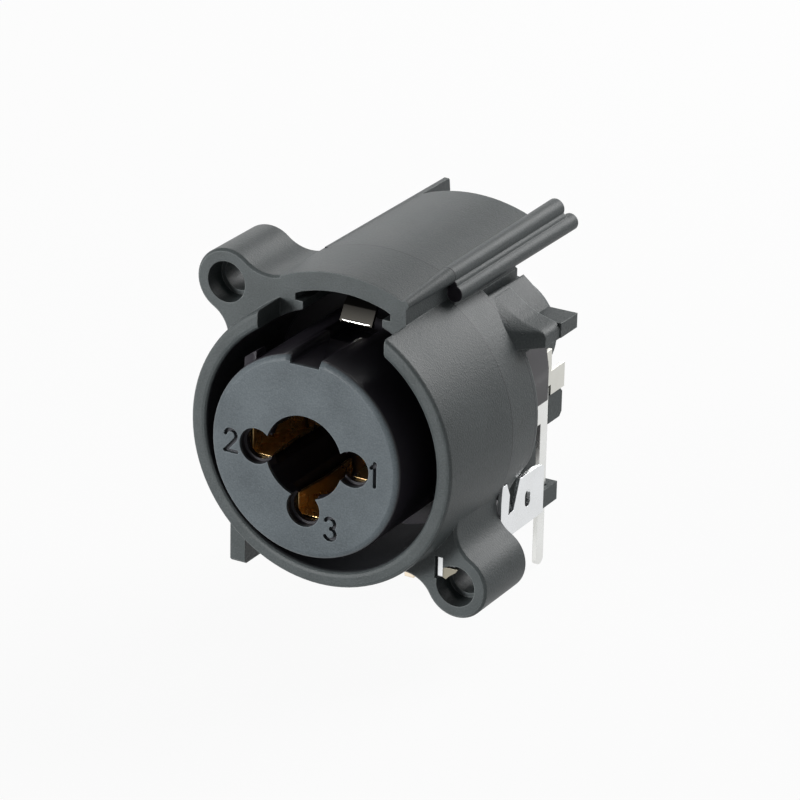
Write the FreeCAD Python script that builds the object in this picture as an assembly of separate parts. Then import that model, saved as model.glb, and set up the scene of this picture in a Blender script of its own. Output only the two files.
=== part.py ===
"""Panel socket that takes a three-pole XLR plug or a 6.35 mm jack plug.

Frame, in millimetres: the origin is on the plug axis in the front plane of
the two screw ears.  +X is to the right seen from the front, +Y goes deeper
into the socket, and +Z is up, away from the circuit board.
"""
import FreeCAD
import Part
import math
import os

# Clearances and small breaks shared by several pieces
FIT = 0.05
SLOT_GAP = 0.15
PIN_GAP = 0.08
EDGE_BREAK = 0.2
OVERLAP = 0.2
THROUGH = 1.0

# Collar and body tube
BORE_R = 9.70
COUNTERBORE_R = 10.0
SHOULDER_Y = 7.2
COLLAR_R = 10.97
COLLAR_DEPTH = 3.15
RIM_ROUND = 0.32
RIM_INNER_ROUND = 0.40
PARTING_Y = 6.1
PARTING_R = 11.08
LOWER_END_Y = 10.3
LOWER_END_R = 10.92
ROOF_END_Y = 15.8
ROOF_END_R = 10.88
ROOF_Z = 5.0
COLLAR_GAP_X = 5.3
WINDOW_X = 6.0
WINDOW_DEPTH = 1.6
WINDOW_Z = (-9.6, -4.75, -3.35)

# Hood with the latch channel under it
HOOD_X = 5.3
HOOD_INNER_R = 9.0
HOOD_FRONT_R = 12.5
HOOD_PARTING_R = 12.66
HOOD_END_R = 12.6
HOOD_END_Y = 20.1
HOOD_REAR_Z = 9.15
CHANNEL_R = 11.05
CHANNEL_TOP_X = 3.55
CHANNEL_X = 4.0
CHANNEL_TOP_Z = 10.25
CHANNEL_FLOOR_Z = 9.72
CHANNEL_LOW_Z = 8.0
LIP_X = 3.35

# Rails beside the hood: centre x, height of the centre over the hood, radius
RAIL_1_FRONT = (5.15, -0.19, 0.35)
RAIL_1_PARTING = (5.28, 0.01, 0.66)
RAIL_1_END = (5.32, 0.24, 0.75)
RAIL_1_END_Y = 23.1
RAIL_2_FRONT = (5.90, -0.96, 0.62)
RAIL_2_END = (6.10, -0.63, 0.68)
RAIL_2_END_Y = 24.1
MID_RAIL_FRONT = (5.72, -0.42, 0.36)
MID_RAIL_END = (5.86, -0.14, 0.38)
RAIL_STEP = 0.01
RAIL_WEB_BELOW = (1.25, 0.32)
RAIL_WEB_END_Y = 15.5
GROOVE_X = (5.92, 6.45)
GROOVE_DEPTH = 0.55
FIN_X = (-5.12, -4.74)
FIN_RISE = 0.17
FIN_DROP = 1.35
FIN_END_Y = 24.4
FIN_NOSE = 0.15

# Screw ears on a 28 mm circle
EAR_OFFSET = 9.9
EAR_R = 2.55
EAR_BACK_Y = 6.15
EAR_ROOT_R = 11.0
EAR_FILLET_R = 2.5
EAR_HOOD_FILLET_R = 3.2
SCREW_SEAT_R = 1.6
SCREW_SEAT_DEPTH = 1.9
SCREW_R = 1.25

# Ledges at the sides of the roof
LEDGE_Z = (5.5, 6.65)
LEDGE_X = (8.2, 9.6, 11.0, 11.1)
LEDGE_Y = (9.9, 11.9, 13.2)
LEDGE_ROLL = ((6.2, 11.0), (6.48, 10.8), (6.6, 10.4))

# Foot and board level
BOARD_Z = -12.5
TAIL_Z = -15.8
TAIL_W = 0.8
TAIL_SHOULDER_Z = -9.5
FOOT_X = (-9.45, -8.15)
FOOT_BACK_Y = 5.2
FOOT_TOP_Z = -6.2

# Insert
FACE_Y = -5.3
FACE_R = 7.9
FACE_ROUND = 0.45
FLANGE_Y = 8.6
JACK_R = 3.25
CONTACT_CIRCLE_R = 4.05
CONTACT_HOLE_R = 1.4
CONTACT_HOLE_DEPTH = 0.7
CONTACT_STEP_R = 1.22
FACE_PLATE_Y = -4.15
KEY_X = (1.5, 1.2)
KEY_DEPTH = 0.75
KEY_END_Y = 4.2
POCKET_X = 1.75
POCKET_Y = 0.4
POCKET_DEPTH = 1.35
CARRIER_END_Y = 16.3
RIB_X = 8.6
RIB_Z = (-1.1, 1.5)
SIDE_TOP_X = 8.1
SIDE_TOP_Z = 4.7
CROWN_X = 6.4
CROWN_Z = 7.2
KEEL_X = 5.3
KEEL_Z = -8.6
CARRIER_BREAK = 0.5
TAB_X = (-5.4, -4.4)
TAB_RISE = 0.55
TAB_Y = (0.5, 0.6, 1.7, 2.3)

# Channel contacts
SHEET = 0.28
CHANNEL_MOUTH = 1.02
CHANNEL_THROAT = 0.86
CHANNEL_FLARE = 0.12
CHANNEL_FLARE_LENGTH = 0.7
CHANNEL_PINCH_Y = -0.4
CHANNEL_IN_R = 3.5
CHANNEL_OUT_R = 5.25
CHANNEL_START_Y = -3.95
CHANNEL_END_Y = 3.6
RUN_LAP = 0.5
CAVITY_IN_R = 2.0
LEAF_HALF_W = 0.65
CONTACT_3_Y = 10.95
RUN_HALF_W = 0.8
KINK_Y = (12.4, 14.6)
PIN_X = 7.17
PIN_SHEET = 0.36
PIN_Y = (17.7, 18.8)
PIN_TIP = 0.45
PLATE_START_Y = 16.42
PLATE_REAR_Y = 17.8
PLATE_STEP_Z = -1.25
PLATE_BOTTOM_Z = -3.85

# Rear cover
COVER_X = 6.2
COVER_TOP_Z = 5.0
COVER_BOTTOM_Z = -9.4
COVER_Y = (16.35, 20.5)
COVER_BREAK = 0.8
TUBE_R = 4.3
TUBE_END_Y = 26.2
TUBE_BREAK = 0.4
TUBE_BORE_R = 3.3
TUBE_WALL_END = 0.6
COMB_X = 7.8
COMB_Y = (17.0, 19.9)
COMB_Z = (-10.8, -9.3)
COMB_ROOT_X = 5.0
EAR_TAB_X = 7.35
EAR_TAB_Y = (18.9, 21.1)
EAR_TAB_Z = (-4.3, -1.95)
EAR_TAB_BREAK = 0.35
POCKET_WALL = 0.9
POCKET_W = 2.3
POCKET_FLOOR = 1.2
POCKET_ROWS = ((-8.5, -4.6), (-3.6, 3.9))
REAR_FOOT_W = 1.5
REAR_FOOT_X = (-5.9, 2.6)
REAR_FOOT_Y = (16.6, 20.3)
REAR_FOOT_TAPER = 0.5
PEG_R = 0.8
PEG_LENGTH = 2.1
PEG_POINT = 0.3

# Jack leaf contacts: root, crest and end of each leaf
LEAF = 0.25
TIP_X = 1.2
TIP_RISER_Y = 18.65
TIP_LEAF = ((3.7, -2.85), (5.2, -3.7))
RING_X = -1.9
RING_RISER_Y = 11.95
RING_LEAF = ((2.9, -2.85), (3.9, -3.5))
LEAF_ROOT_Z = -4.45
LEAF_SLOT_Z = (-4.8, -1.5)
SLEEVE_RISER_X = 4.3
SLEEVE_RISER_Y = (11.9, 12.9)
SLEEVE_LEAF = ((2.85, 10.0), (3.7, 8.95))
STRAP_Z = (1.1, 1.9)
STRAP_BEND_Y = (14.2, 16.9)
LUG_X = 7.3
LUG_Y = (18.45, 19.0, 21.2)
LUG_Z = (-1.9, -1.05, 0.1)

# Retention spring
SPRING_SHEET = 0.28
SPRING_Z = 9.985
SPRING_DROP = 0.45
SPRING_BAR_X = 3.85
SPRING_BAR_Y = (14.5, 15.9)
SPRING_NECK_X = 2.9
SPRING_NECK_Y = 12.2
SPRING_LAP = 0.1
TONGUE_X = 1.36
TONGUE_FRONT_Y = 2.7
TONGUE_BEND = ((1.4, 0.05), (0.35, -0.1), (-0.05, -0.5))
TOOTH_Z = 7.98
TOOTH_END = ((-0.6, 0.12), (-0.4, -0.02))
SPRING_ROOM = 0.48

# Ground clip
CLIP_X = (9.95, 10.25)
CLIP_END_Y = 12.9
CLIP_TOP_Z = -4.55
CLIP_BOTTOM_Z = -8.7
CLIP_HOLE_Y = 10.35
CLIP_HOLE_Z = -6.6
CLIP_HOLE_W = 0.42
CLIP_HOLE_H = (0.25, 0.68)
CLIP_ARM_Z = (-5.45, -4.25)
CLIP_ARM_Y = 6.62
CLIP_BOW = 0.87
CLIP_BOW_Y = 2.6
CLIP_TIP = 0.22
CLIP_TIP_Y = -0.5
CLIP_GAP = 0.1
CLIP_ROOM = 0.5
CLIP_FRONT_Z = (-5.6, -5.0)
CLIP_FRONT_LEAN = 0.05
CLIP_TOP_SHORT = 1.3
CLIP_CORNER = ((0.0, 0.35), (0.4, 0.15))
CLIP_SLIT = ((-2.2, -0.15), (-3.0, -0.3), (-2.85, 1.3))
CLIP_ARM_LAP = (0.15, 0.38)
SCREW_ARM_X = (8.28, 8.68)
SCREW_ARM_Z = (-9.5, -8.0)
SCREW_ARM_FRONT_Y = 0.25
JOG_Z = -8.55


def vec(x, y, z):
    return FreeCAD.Vector(x, y, z)


def box(x0, x1, y0, y1, z0, z1):
    return Part.makeBox(x1 - x0, y1 - y0, z1 - z0, vec(x0, y0, z0))


def rod(radius, y0, y1, x=0.0, z=0.0):
    """Cylinder along Y."""
    return Part.makeCylinder(radius, y1 - y0, vec(x, y0, z), vec(0, 1, 0))


def on_circle(radius, a):
    """Other coordinate of a point of a circle about the axis."""
    return math.sqrt(radius ** 2 - a ** 2)


def loop(steps, place):
    """Closed face from steps.

    A step of two numbers is a straight line to that point, and a step of
    four is an arc through the first point to the second.
    """
    edges = []
    here = place(*steps[0][-2:])
    for step in list(steps[1:]) + [steps[0][-2:]]:
        end = place(*step[-2:])
        if len(step) == 4:
            edges.append(Part.Arc(here, place(*step[:2]), end).toShape())
        elif here.distanceToPoint(end) > 1e-6:
            edges.append(Part.makeLine(here, end))
        here = end
    return Part.Face(Part.Wire(edges))


def turned(steps):
    """Full turn about Y of an outline given as (radius, y)."""
    face = loop(steps, lambda r, y: vec(r, y, 0))
    return face.revolve(vec(0, 0, 0), vec(0, 1, 0), 360)


def along_x(steps, x0, x1):
    """Outline given as (y, z), pushed along X."""
    face = loop(steps, lambda y, z: vec(x0, y, z))
    return face.extrude(vec(x1 - x0, 0, 0))


def along_y(steps, y0, y1):
    """Outline given as (x, z), pushed along Y."""
    face = loop(steps, lambda x, z: vec(x, y0, z))
    return face.extrude(vec(0, y1 - y0, 0))


def along_z(steps, z0, z1):
    """Outline given as (x, y), pushed along Z."""
    face = loop(steps, lambda x, y: vec(x, y, z0))
    return face.extrude(vec(0, 0, z1 - z0))


def both_sides(half):
    """Outline symmetric about x = 0, from the points of its right half."""
    left = [(-x, z) for x, z in reversed(half)]
    return half + left


def strip(path, sheet):
    """Outline of a bent sheet of even thickness, centred on a path."""
    left = []
    right = []
    for i, (a, b) in enumerate(path):
        before = path[max(i - 1, 0)]
        after = path[min(i + 1, len(path) - 1)]
        normals = []
        for p, q in ((before, (a, b)), ((a, b), after)):
            length = math.hypot(q[0] - p[0], q[1] - p[1])
            if length > 1e-9:
                normals.append(((p[1] - q[1]) / length, (q[0] - p[0]) / length))
        na = sum(n[0] for n in normals) / len(normals)
        nb = sum(n[1] for n in normals) / len(normals)
        scale = sheet / 2 / (na * na + nb * nb)
        left.append((a + na * scale, b + nb * scale))
        right.append((a - na * scale, b - nb * scale))
    return left + right[::-1]


def mirrored(shape):
    return shape.mirror(vec(0, 0, 0), vec(1, 0, 0))


def joined(shapes):
    solid = shapes[0]
    for shape in shapes[1:]:
        solid = solid.fuse(shape)
    return solid.removeSplitter()


def corner(centre, radius, start, end):
    """Points of a small round, in three straight steps so that it stays light."""
    points = []
    for i in range(4):
        angle = math.radians(start + (end - start) * i / 3)
        points.append((centre[0] + radius * math.cos(angle),
                       centre[1] + radius * math.sin(angle)))
    return points


def rail(front, y0, back, y1, end_break=0.0):
    """Tapered round rail, with an optional bevelled end."""
    start = vec(front[0], y0, front[1])
    axis = vec(back[0], y1, back[1]) - start
    length = axis.Length
    axis.normalize()
    side = axis.cross(vec(1, 0, 0)).normalize()
    points = [
        start,
        start + side * front[2],
        start + axis * (length - end_break) + side * back[2],
        start + axis * length + side * (back[2] - end_break),
        start + axis * length,
    ]
    outline = Part.Face(Part.makePolygon(points + [start]))
    return outline.revolve(start, axis, 360)


def fillet_centre(circle_r, ear, fillet_r, side):
    """Centre of a fillet that touches the body circle and an ear."""
    reach = math.hypot(ear[0], ear[1])
    a = circle_r + fillet_r
    b = EAR_R + fillet_r
    bend = math.acos((a * a + reach * reach - b * b) / (2 * a * reach))
    angle = math.atan2(ear[1], ear[0]) + side * bend
    return (a * math.cos(angle), a * math.sin(angle))


def towards(start, end, distance):
    length = math.hypot(end[0] - start[0], end[1] - start[1])
    t = distance / length
    return (start[0] + (end[0] - start[0]) * t, start[1] + (end[1] - start[1]) * t)


def ear_outline(ear, left_r, left_fillet, right_r, right_fillet):
    """Outline of an ear with a hollow fillet at each side of its root."""
    c1 = fillet_centre(left_r, ear, left_fillet, 1)
    c2 = fillet_centre(right_r, ear, right_fillet, -1)
    foot1 = towards(c1, (0, 0), left_fillet)
    top1 = towards(c1, ear, left_fillet)
    foot2 = towards(c2, (0, 0), right_fillet)
    top2 = towards(c2, ear, right_fillet)
    tip = towards(ear, (0, 0), -EAR_R)
    mid1 = towards(c1, towards(foot1, top1, math.dist(foot1, top1) / 2), left_fillet)
    mid2 = towards(c2, towards(foot2, top2, math.dist(foot2, top2) / 2), right_fillet)
    under1 = towards((0, 0), foot1, BORE_R - OVERLAP)
    under2 = towards((0, 0), foot2, BORE_R - OVERLAP)
    return [under1, foot1, mid1 + top1, tip + top2, mid2 + foot2, under2]


def body_tube():
    """Collar and tube with rounded rim, and the window behind the ground clip."""
    front = -COLLAR_DEPTH
    rim = corner((BORE_R + RIM_INNER_ROUND, front + RIM_INNER_ROUND), RIM_INNER_ROUND, 180, 270)
    rim += corner((COLLAR_R - RIM_ROUND, front + RIM_ROUND), RIM_ROUND, -90, 0)
    tube = turned(rim + [
        (PARTING_R, PARTING_Y),
        (LOWER_END_R, LOWER_END_Y),
        (ROOF_END_R, ROOF_END_Y),
        (BORE_R, ROOF_END_Y),
    ])
    wide = COLLAR_R + 2
    gap = box(-COLLAR_GAP_X, COLLAR_GAP_X, front - 1, 0, 0, wide)
    under = box(-wide, wide, LOWER_END_Y, ROOF_END_Y + 1, -wide, ROOF_Z)
    window = along_x([
        (LOWER_END_Y - WINDOW_DEPTH, WINDOW_Z[0]),
        (LOWER_END_Y - WINDOW_DEPTH, WINDOW_Z[1]),
        (LOWER_END_Y + 0.1, WINDOW_Z[2]),
        (LOWER_END_Y + 0.1, WINDOW_Z[0]),
    ], WINDOW_X, wide)
    return tube.cut(gap).cut(under).cut(window)


def over_hood(station, hood_r):
    """Centre x, centre z and radius of a rail at one station."""
    x, lift, radius = station
    return (x, on_circle(hood_r, x) + lift, radius)


def hood():
    """Arched hood with its rails and the fin at the left edge."""
    arch = turned([
        (HOOD_INNER_R, 0),
        (HOOD_FRONT_R, 0),
        (HOOD_PARTING_R, PARTING_Y),
        (HOOD_END_R, HOOD_END_Y),
        (HOOD_INNER_R, HOOD_END_Y),
    ])
    arch = arch.common(box(-HOOD_X, HOOD_X, 0, HOOD_END_Y, 0, HOOD_PARTING_R + 1))
    front_1 = over_hood(RAIL_1_FRONT, HOOD_FRONT_R)
    parting_1 = over_hood(RAIL_1_PARTING, HOOD_PARTING_R)
    into_1 = (parting_1[0], parting_1[1], parting_1[2] - RAIL_STEP)
    front_2 = over_hood(RAIL_2_FRONT, HOOD_PARTING_R)
    rails = [
        rail(front_1, 0, into_1, PARTING_Y + RAIL_STEP),
        rail(parting_1, PARTING_Y, over_hood(RAIL_1_END, HOOD_END_R), RAIL_1_END_Y, EDGE_BREAK),
        rail(front_2, PARTING_Y, over_hood(RAIL_2_END, HOOD_END_R), RAIL_2_END_Y, EDGE_BREAK),
        rail(over_hood(MID_RAIL_FRONT, HOOD_PARTING_R), PARTING_Y + RAIL_STEP,
             over_hood(MID_RAIL_END, HOOD_END_R), RAIL_1_END_Y - EDGE_BREAK),
    ]
    rails[0] = rails[0].common(box(0, HOOD_END_R, 0, PARTING_Y + 1, 0, HOOD_END_R))
    web = box(HOOD_X - OVERLAP, front_2[0], PARTING_Y + FIT, RAIL_WEB_END_Y,
              front_2[1] - RAIL_WEB_BELOW[0], front_2[1] - RAIL_WEB_BELOW[1])
    top = on_circle(HOOD_END_R, FIN_X[0]) + FIN_RISE
    low = on_circle(HOOD_END_R, FIN_X[0]) - FIN_DROP
    fin = along_x([
        (PARTING_Y, low),
        (FIN_END_Y, low),
        (FIN_END_Y + FIN_NOSE, low + 2 * FIN_NOSE),
        (FIN_END_Y, top - FIN_NOSE),
        (FIN_END_Y - FIN_NOSE, top),
        (PARTING_Y, top),
    ], *FIN_X)
    return [arch, web, fin] + rails


def latch_channel():
    """Space under the hood where the retention spring sits."""
    corner_z = on_circle(CHANNEL_R, CHANNEL_TOP_X)
    return along_y([
        (-LIP_X, CHANNEL_LOW_Z),
        (-LIP_X, CHANNEL_FLOOR_Z),
        (-CHANNEL_X, CHANNEL_FLOOR_Z),
        (-CHANNEL_X, CHANNEL_TOP_Z),
        (-CHANNEL_TOP_X, corner_z),
        (0, CHANNEL_R, CHANNEL_TOP_X, corner_z),
        (CHANNEL_X, CHANNEL_TOP_Z),
        (CHANNEL_X, CHANNEL_FLOOR_Z),
        (LIP_X, CHANNEL_FLOOR_Z),
        (LIP_X, CHANNEL_LOW_Z),
    ], -THROUGH, HOOD_END_Y + THROUGH)


def ledge():
    """Ledge under the roof's edge: a rolled front part and a square rear end."""
    low, high = LEDGE_Z
    inner, front_x, full_x, rear_x = LEDGE_X
    front_y, full_y, rear_y = LEDGE_Y
    roll = along_y([(inner, low), (full_x, low)]
                   + [(x, z) for z, x in LEDGE_ROLL]
                   + [(inner, high)], front_y, rear_y + OVERLAP)
    plan = along_z([
        (inner, front_y),
        (front_x, front_y),
        (full_x, full_y),
        (full_x, rear_y + OVERLAP),
        (inner, rear_y + OVERLAP),
    ], low, high)
    rear = box(inner, rear_x, rear_y, ROOF_END_Y, low, high)
    return roll.common(plan).fuse(rear)


def ear(x, z, left, right):
    """One screw ear with its front edge broken.

    Left and right give the radius of the root and of the fillet at each side.
    """
    solid = along_y(ear_outline((x, z), *left, *right), 0, EAR_BACK_Y)
    round_edges = []
    for edge in solid.Edges:
        place = edge.BoundBox
        if place.YMax < 1e-6 and edge.Curve.TypeId == "Part::GeomCircle":
            round_edges.append(edge)
    return solid.makeChamfer(EDGE_BREAK, round_edges)


def housing():
    """The main moulding."""
    foot = along_x([
        (0, BOARD_Z + EDGE_BREAK),
        (EDGE_BREAK, BOARD_Z),
        (FOOT_BACK_Y - EDGE_BREAK, BOARD_Z),
        (FOOT_BACK_Y, BOARD_Z + EDGE_BREAK),
        (FOOT_BACK_Y, FOOT_TOP_Z),
        (0, FOOT_TOP_Z),
    ], *FOOT_X)
    side = ledge()
    by_body = (EAR_ROOT_R, EAR_FILLET_R)
    by_hood = (HOOD_FRONT_R, EAR_HOOD_FILLET_R)
    ears = [
        ear(-EAR_OFFSET, EAR_OFFSET, by_body, by_hood),
        ear(EAR_OFFSET, -EAR_OFFSET, by_body, by_body),
    ]
    solid = joined([body_tube(), foot, side, mirrored(side)] + ears + hood())
    gap = SLOT_GAP
    cuts = [
        box(-HOOD_X - THROUGH, HOOD_X + THROUGH, ROOF_END_Y, HOOD_END_Y + THROUGH,
            0, HOOD_REAR_Z),
        rod(BORE_R, -COLLAR_DEPTH + RIM_INNER_ROUND, SHOULDER_Y),
        rod(COUNTERBORE_R, SHOULDER_Y, HOOD_END_Y + THROUGH),
        latch_channel(),
        box(*GROOVE_X, LOWER_END_Y, ROOF_END_Y + THROUGH,
            on_circle(ROOF_END_R, GROOVE_X[1]) - GROOVE_DEPTH,
            on_circle(ROOF_END_R, GROOVE_X[0]) + OVERLAP),
        box(SCREW_ARM_X[0] - gap, SCREW_ARM_X[1] + gap, -THROUGH, EAR_BACK_Y + THROUGH,
            SCREW_ARM_Z[0] - gap, SCREW_ARM_Z[1] + gap),
        box(CHANNEL_LOW_Z, COLLAR_R + THROUGH, PARTING_Y + EDGE_BREAK, SHOULDER_Y - CLIP_GAP,
            CLIP_ARM_Z[0] - gap, CLIP_ARM_Z[1] + gap),
        clip_room(CLIP_ARM_Z[0] - gap, CLIP_ARM_Z[1] + gap),
    ]
    for sign in (1, -1):
        x = sign * EAR_OFFSET
        z = -sign * EAR_OFFSET
        cuts.append(rod(SCREW_SEAT_R, -THROUGH, SCREW_SEAT_DEPTH, x, z))
        cuts.append(rod(SCREW_R, 0, EAR_BACK_Y + THROUGH, x, z))
    return solid.cut(cuts[0].multiFuse(cuts[1:])).removeSplitter()


def place_contact(shape, number):
    """Turn a contact modelled at the bottom to its own hole."""
    turn = {3: 0, 1: -90, 2: 90}[number]
    copy = shape.copy()
    copy.rotate(vec(0, 0, 0), vec(0, 1, 0), turn)
    return copy


def channel_contact():
    """Three-sided channel at the bottom hole, open towards the axis."""
    path = [
        (CHANNEL_MOUTH + CHANNEL_FLARE + SHEET / 2, CHANNEL_START_Y),
        (CHANNEL_MOUTH + SHEET / 2, CHANNEL_START_Y + CHANNEL_FLARE_LENGTH),
        (CHANNEL_THROAT + SHEET / 2, CHANNEL_PINCH_Y),
        (CHANNEL_MOUTH + SHEET / 2, CHANNEL_END_Y),
    ]
    wall = along_z(strip(path, SHEET), -CHANNEL_OUT_R, -CHANNEL_IN_R)
    half = CHANNEL_MOUTH + SHEET
    back = box(-half, half, CHANNEL_START_Y + SHEET, CHANNEL_END_Y,
               -CHANNEL_OUT_R - SHEET, -CHANNEL_OUT_R)
    return [wall, mirrored(wall), back]


def contact_cavity():
    """Space for a channel contact behind the bottom hole."""
    half = CHANNEL_MOUTH + SHEET + SLOT_GAP + CHANNEL_FLARE
    return box(-half, half, FACE_PLATE_Y, CHANNEL_END_Y + 2 * SLOT_GAP,
               -CHANNEL_OUT_R - SHEET - FIT, -CAVITY_IN_R)


def xlr_contact_3(gap=0.0):
    """Bottom contact, with its tail down through the board."""
    z = -CHANNEL_OUT_R - SHEET / 2
    y = CONTACT_3_Y
    path = [(CHANNEL_END_Y - RUN_LAP, z), (y, z), (y, TAIL_SHOULDER_Z)]
    run = along_x(strip(path, SHEET + 2 * gap), -LEAF_HALF_W - gap, LEAF_HALF_W + gap)
    if gap:
        return run
    tail = box(-TAIL_W / 2, TAIL_W / 2, y - SHEET / 2, y + SHEET / 2, TAIL_Z,
               TAIL_SHOULDER_Z + OVERLAP)
    return joined(channel_contact() + [run, tail])


def xlr_contact_1(gap=0.0):
    """Right contact, stepping out to the long blade beside the cover."""
    x = CHANNEL_OUT_R + SHEET / 2
    path = [(x, CHANNEL_END_Y - RUN_LAP), (x, KINK_Y[0]), (PIN_X, KINK_Y[1]),
            (PIN_X, PLATE_REAR_Y)]
    run = along_z(strip(path, SHEET + 2 * gap), -RUN_HALF_W - gap, RUN_HALF_W + gap)
    if gap:
        return run
    half = PIN_SHEET / 2
    blade = along_x([
        (PLATE_START_Y, RUN_HALF_W),
        (PLATE_START_Y, PLATE_BOTTOM_Z),
        (PIN_Y[0], PLATE_BOTTOM_Z),
        (PIN_Y[0], TAIL_Z + PIN_TIP),
        ((PIN_Y[0] + PIN_Y[1]) / 2, TAIL_Z, PIN_Y[1], TAIL_Z + PIN_TIP),
        (PIN_Y[1], PLATE_STEP_Z),
        (PLATE_REAR_Y, PLATE_STEP_Z),
        (PLATE_REAR_Y, RUN_HALF_W),
    ], PIN_X - half, PIN_X + half)
    channel = []
    for shape in channel_contact():
        channel.append(place_contact(shape, 1))
    return joined(channel + [run, blade])


def leaf_contact(x, riser_y, leaf):
    """Board tail and riser with a sprung leaf that leans into the jack passage."""
    path = [(riser_y, TAIL_SHOULDER_Z), (riser_y, LEAF_ROOT_Z)]
    for y, z in leaf:
        path.append((riser_y + y, z))
    blade = along_x(strip(path, LEAF), x - LEAF_HALF_W, x + LEAF_HALF_W)
    tail = box(x - TAIL_W / 2, x + TAIL_W / 2, riser_y - LEAF / 2, riser_y + LEAF / 2,
               TAIL_Z, TAIL_SHOULDER_Z + OVERLAP)
    return joined([blade, tail])


def sleeve_strap(gap=0.0):
    """Strap from the sleeve riser out to the lug beside the cover."""
    x = SLEEVE_RISER_X
    path = [(x, SLEEVE_RISER_Y[0] - gap), (x, STRAP_BEND_Y[0]), (LUG_X, STRAP_BEND_Y[1]),
            (LUG_X, LUG_Y[0] + gap)]
    return along_z(strip(path, SHEET + 2 * gap), STRAP_Z[0] - gap, STRAP_Z[1] + gap)


def jack_sleeve_contact():
    """Leaf at the right of the jack passage, a board tail and a rear lug."""
    x = SLEEVE_RISER_X
    y0, y1 = SLEEVE_RISER_Y
    riser = box(x - SHEET / 2, x + SHEET / 2, y0, y1, TAIL_SHOULDER_Z, STRAP_Z[1])
    middle = (y0 + y1) / 2
    tail = box(x - SHEET / 2, x + SHEET / 2, middle - TAIL_W / 2, middle + TAIL_W / 2,
               TAIL_Z, TAIL_SHOULDER_Z + OVERLAP)
    path = [(x, y0 + LEAF)] + list(SLEEVE_LEAF)
    leaf = along_z(strip(path, LEAF), -LEAF_HALF_W, LEAF_HALF_W)
    lug = along_x([
        (LUG_Y[0] - OVERLAP, STRAP_Z[0]),
        (LUG_Y[0], STRAP_Z[0]),
        (LUG_Y[0], LUG_Z[1]),
        (LUG_Y[1], LUG_Z[1]),
        (LUG_Y[1], LUG_Z[0]),
        (LUG_Y[2], LUG_Z[0]),
        (LUG_Y[2], LUG_Z[2]),
        (LUG_Y[1], LUG_Z[2]),
        (LUG_Y[1], STRAP_Z[1]),
        (LUG_Y[0] - OVERLAP, STRAP_Z[1]),
    ], LUG_X - SHEET / 2, LUG_X + SHEET / 2)
    return joined([riser, tail, leaf, sleeve_strap(), lug])


def carrier_outline():
    """Section of the block behind the flange that holds all the contacts."""
    c = CARRIER_BREAK
    return both_sides([
        (KEEL_X - c, KEEL_Z),
        (KEEL_X, KEEL_Z + c),
        (KEEL_X, RIB_Z[0]),
        (RIB_X, RIB_Z[0]),
        (RIB_X, RIB_Z[1]),
        (SIDE_TOP_X, SIDE_TOP_Z),
        (CROWN_X, SIDE_TOP_Z),
        (CROWN_X, CROWN_Z - c),
        (CROWN_X - c, CROWN_Z),
    ])


def insert():
    """Front contact carrier."""
    flange_r = COUNTERBORE_R - FIT
    face_edge = corner((FACE_R - FACE_ROUND, FACE_Y + FACE_ROUND), FACE_ROUND, -90, 0)
    front = turned([(0, FACE_Y)] + face_edge + [
        (FACE_R, SHOULDER_Y),
        (flange_r, SHOULDER_Y),
        (flange_r, FLANGE_Y),
        (0, FLANGE_Y),
    ])
    carrier = along_y(carrier_outline(), FLANGE_Y - OVERLAP, CARRIER_END_Y)
    tab = turned([
        (FACE_R - FACE_ROUND, FACE_Y + TAB_Y[0]),
        (FACE_R + TAB_RISE, FACE_Y + TAB_Y[1]),
        (FACE_R + TAB_RISE, FACE_Y + TAB_Y[2]),
        (FACE_R - FACE_ROUND, FACE_Y + TAB_Y[3]),
    ]).common(box(*TAB_X, FACE_Y, 0, 0, FACE_R + 1))
    solid = joined([front, tab, carrier])
    top = FACE_R + THROUGH
    key_floor = FACE_R - KEY_DEPTH
    half_notch = CHANNEL_X + SLOT_GAP
    cuts = [
        rod(JACK_R, FACE_Y - THROUGH, CARRIER_END_Y + THROUGH),
        along_y([(-KEY_X[0], top), (-KEY_X[1], key_floor), (KEY_X[1], key_floor),
                 (KEY_X[0], top)], FACE_Y - THROUGH, KEY_END_Y),
        box(-POCKET_X, POCKET_X, POCKET_Y, KEY_END_Y, FACE_R - POCKET_DEPTH, top),
        box(-half_notch, half_notch, SHOULDER_Y - THROUGH, FLANGE_Y + THROUGH,
            SPRING_Z - SPRING_DROP - SPRING_ROOM, COUNTERBORE_R + THROUGH),
        clip_arm(SLOT_GAP),
    ]
    mouth = FACE_Y + CONTACT_HOLE_DEPTH
    hole = rod(CONTACT_HOLE_R, FACE_Y - THROUGH, mouth, 0, -CONTACT_CIRCLE_R)
    step = rod(CONTACT_STEP_R, FACE_Y, FACE_PLATE_Y + OVERLAP, 0, -CONTACT_CIRCLE_R)
    for number in (1, 2, 3):
        for shape in (hole, step, contact_cavity()):
            cuts.append(place_contact(shape, number))
    slot_1 = xlr_contact_1(SLOT_GAP)
    cuts += [xlr_contact_3(SLOT_GAP), slot_1, mirrored(slot_1)]
    cuts += leaf_slots()
    return solid.cut(cuts[0].multiFuse(cuts[1:])).removeSplitter()


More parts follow.
